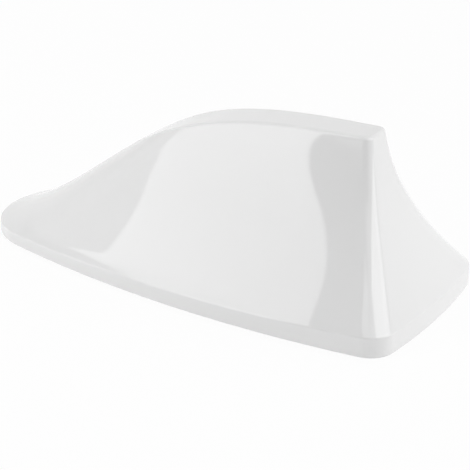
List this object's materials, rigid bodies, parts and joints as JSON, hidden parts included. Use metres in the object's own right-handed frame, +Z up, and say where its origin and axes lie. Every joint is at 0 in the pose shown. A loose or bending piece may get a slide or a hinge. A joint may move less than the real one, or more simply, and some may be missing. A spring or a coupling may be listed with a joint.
{
  "type": "shark fin aerial",
  "caption": "Fin-shaped car roof aerial: a glossy hollow cover on a screwed base plate with a foam pad, over an amplifier board and an upright radiator, with a cable bush below.",
  "frame": {"origin": "centre of the bottom of the fin, on the roof it stands on", "axes": "+X from the nose to the rear, +Y across, +Z up from the roof"},
  "size_m": [0.17, 0.075, 0.06],
  "materials": {
    "white_gloss": "smooth white gloss moulding",
    "black_plastic": "fine matte moulding",
    "foam": "closed-cell foam",
    "seal_rubber": "smooth dark rubber",
    "grommet_rubber": "smooth black rubber",
    "screw_steel": "zinc-plated steel",
    "board_green": "green solder mask on glass-fibre board",
    "copper": "bare copper",
    "tin_plate": "tin-plated sheet",
    "chip_black": "moulded epoxy",
    "ferrite": "sintered ferrite",
    "capacitor_tan": "ceramic body with plated ends",
    "resistor_black": "dark body with plated ends",
    "terminal_brass": "turned brass"
  },
  "bodies": {
    "root": {"cover": "white_gloss", "base_plate": "black_plastic", "adhesive_pad": "foam", "cable_seal": "seal_rubber", "cable_grommet": "grommet_rubber", "cover_screws": "screw_steel", "circuit_board": "board_green", "board_screws": "screw_steel", "radiator_board": "board_green", "radiator_track": "copper", "shield_can": "tin_plate", "amplifier_chip": "chip_black", "choke_core": "ferrite", "choke_winding": "copper", "transistor": "chip_black", "chip_capacitors": "capacitor_tan", "chip_resistors": "resistor_black", "earth_clip": "tin_plate", "core_terminal": "terminal_brass"}
  },
  "joints": []
}
